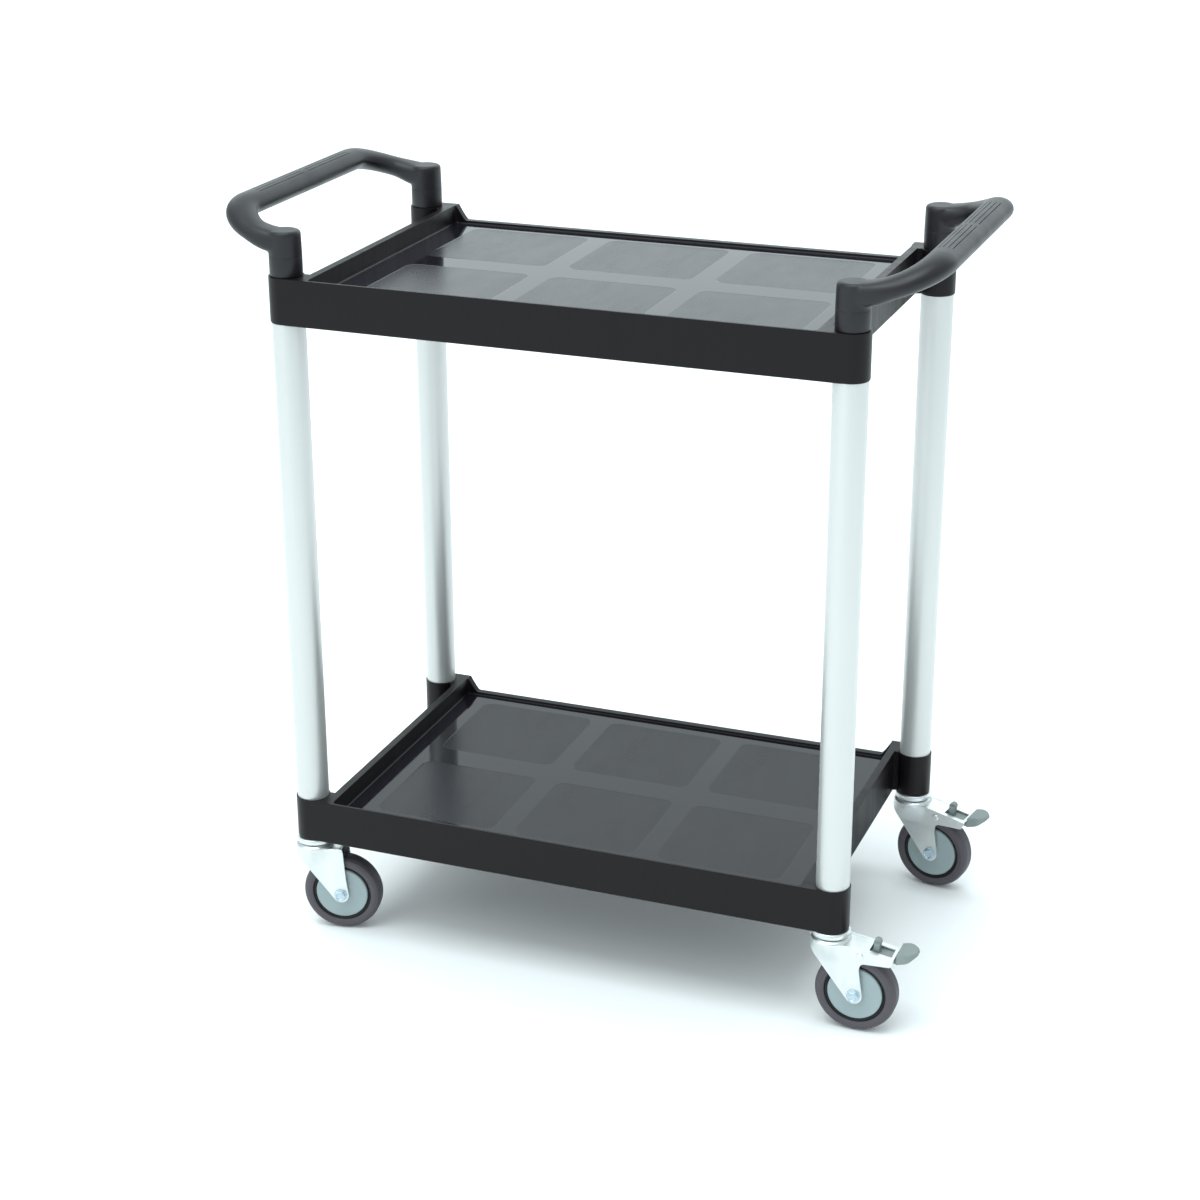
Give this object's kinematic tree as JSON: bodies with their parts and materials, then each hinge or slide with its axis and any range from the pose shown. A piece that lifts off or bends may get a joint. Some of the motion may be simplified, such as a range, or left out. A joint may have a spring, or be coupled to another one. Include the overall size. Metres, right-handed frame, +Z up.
{
  "type": "service trolley",
  "caption": "Food service trolley: moulded trays on round posts, a looped push handle at each end, and swivel casters, with foot brakes at one end.",
  "frame": {"origin": "on the floor, under the middle of the four posts", "axes": "+Z up; +X along the trays' length, towards the end with the braked casters; +Y across the width, towards the side with the low rim"},
  "size_m": [0.8852, 0.4427, 0.9325],
  "materials": {
    "tray_plastic": "near-black moulded plastic, smooth skirts and a glossier floor",
    "handle_plastic": "dark grey satin plastic",
    "aluminium": "pale satin anodised tube",
    "zinc": "bright zinc-plated pressed steel",
    "tyre_rubber": "dark grey rubber with a purple cast",
    "hub_plastic": "blue-grey moulded plastic",
    "pedal_plastic": "mid-grey moulded plastic",
    "inner_plastic": "black plastic, hidden inside the posts"
  },
  "bodies": {
    "frame": {"tray_upper": "tray_plastic", "tray_lower": "tray_plastic", "handle_left": "handle_plastic", "handle_right": "handle_plastic", "post_front_left": "aluminium", "stem_plug_front_left": "inner_plastic", "caster_stem_front_left": "zinc", "bearing_cup_front_left": "zinc", "post_front_right": "aluminium", "stem_plug_front_right": "inner_plastic", "caster_stem_front_right": "zinc", "bearing_cup_front_right": "zinc", "post_rear_left": "aluminium", "stem_plug_rear_left": "inner_plastic", "caster_stem_rear_left": "zinc", "bearing_cup_rear_left": "zinc", "post_rear_right": "aluminium", "stem_plug_rear_right": "inner_plastic", "caster_stem_rear_right": "zinc", "bearing_cup_rear_right": "zinc"},
    "swivel_front_left": {"ball_ring_front_left": "zinc", "fork_front_left": "zinc", "axle_bolt_front_left": "zinc", "axle_nut_front_left": "zinc", "axle_sleeve_front_left": "zinc"},
    "wheel_front_left": {"wheel_hub_front_left": "hub_plastic", "tyre_front_left": "tyre_rubber"},
    "swivel_front_right": {"ball_ring_front_right": "zinc", "fork_front_right": "zinc", "axle_bolt_front_right": "zinc", "axle_nut_front_right": "zinc", "axle_sleeve_front_right": "zinc", "brake_pin_front_right": "zinc"},
    "wheel_front_right": {"wheel_hub_front_right": "hub_plastic", "tyre_front_right": "tyre_rubber"},
    "brake_front_right": {"brake_pedal_front_right": "pedal_plastic", "brake_lever_front_right": "zinc"},
    "swivel_rear_left": {"ball_ring_rear_left": "zinc", "fork_rear_left": "zinc", "axle_bolt_rear_left": "zinc", "axle_nut_rear_left": "zinc", "axle_sleeve_rear_left": "zinc"},
    "wheel_rear_left": {"wheel_hub_rear_left": "hub_plastic", "tyre_rear_left": "tyre_rubber"},
    "swivel_rear_right": {"ball_ring_rear_right": "zinc", "fork_rear_right": "zinc", "axle_bolt_rear_right": "zinc", "axle_nut_rear_right": "zinc", "axle_sleeve_rear_right": "zinc", "brake_pin_rear_right": "zinc"},
    "wheel_rear_right": {"wheel_hub_rear_right": "hub_plastic", "tyre_rear_right": "tyre_rubber"},
    "brake_rear_right": {"brake_pedal_rear_right": "pedal_plastic", "brake_lever_rear_right": "zinc"}
  },
  "joints": [
    {"name": "swivel_front_left", "type": "hinge", "parent": "frame", "child": "swivel_front_left", "pos_m": [-0.34, -0.1945, 0.12], "axis": [0, 0, 1], "continuous": true},
    {"name": "roll_front_left", "type": "hinge", "parent": "swivel_front_left", "child": "wheel_front_left", "pos_m": [-0.30674, -0.18743, 0.05], "axis": [-0.2079, 0.9781, 0], "continuous": true},
    {"name": "swivel_front_right", "type": "hinge", "parent": "frame", "child": "swivel_front_right", "pos_m": [0.34, -0.1945, 0.12], "axis": [0, 0, 1], "continuous": true},
    {"name": "roll_front_right", "type": "hinge", "parent": "swivel_front_right", "child": "wheel_front_right", "pos_m": [0.374, -0.1945, 0.05], "axis": [0, 1, 0], "continuous": true},
    {"name": "brake_front_right", "type": "hinge", "parent": "swivel_front_right", "child": "brake_front_right", "pos_m": [0.38, -0.1945, 0.104], "axis": [0, 1, 0], "range_deg": [0, 8]},
    {"name": "swivel_rear_left", "type": "hinge", "parent": "frame", "child": "swivel_rear_left", "pos_m": [-0.34, 0.1945, 0.12], "axis": [0, 0, 1], "continuous": true},
    {"name": "roll_rear_left", "type": "hinge", "parent": "swivel_rear_left", "child": "wheel_rear_left", "pos_m": [-0.30613, 0.19746, 0.05], "axis": [-0.0872, 0.9962, 0], "continuous": true},
    {"name": "swivel_rear_right", "type": "hinge", "parent": "frame", "child": "swivel_rear_right", "pos_m": [0.34, 0.1945, 0.12], "axis": [0, 0, 1], "continuous": true},
    {"name": "roll_rear_right", "type": "hinge", "parent": "swivel_rear_right", "child": "wheel_rear_right", "pos_m": [0.37348, 0.1886, 0.05], "axis": [0.1736, 0.9848, 0], "continuous": true},
    {"name": "brake_rear_right", "type": "hinge", "parent": "swivel_rear_right", "child": "brake_rear_right", "pos_m": [0.37939, 0.18755, 0.104], "axis": [0.1736, 0.9848, 0], "range_deg": [0, 8]}
  ]
}
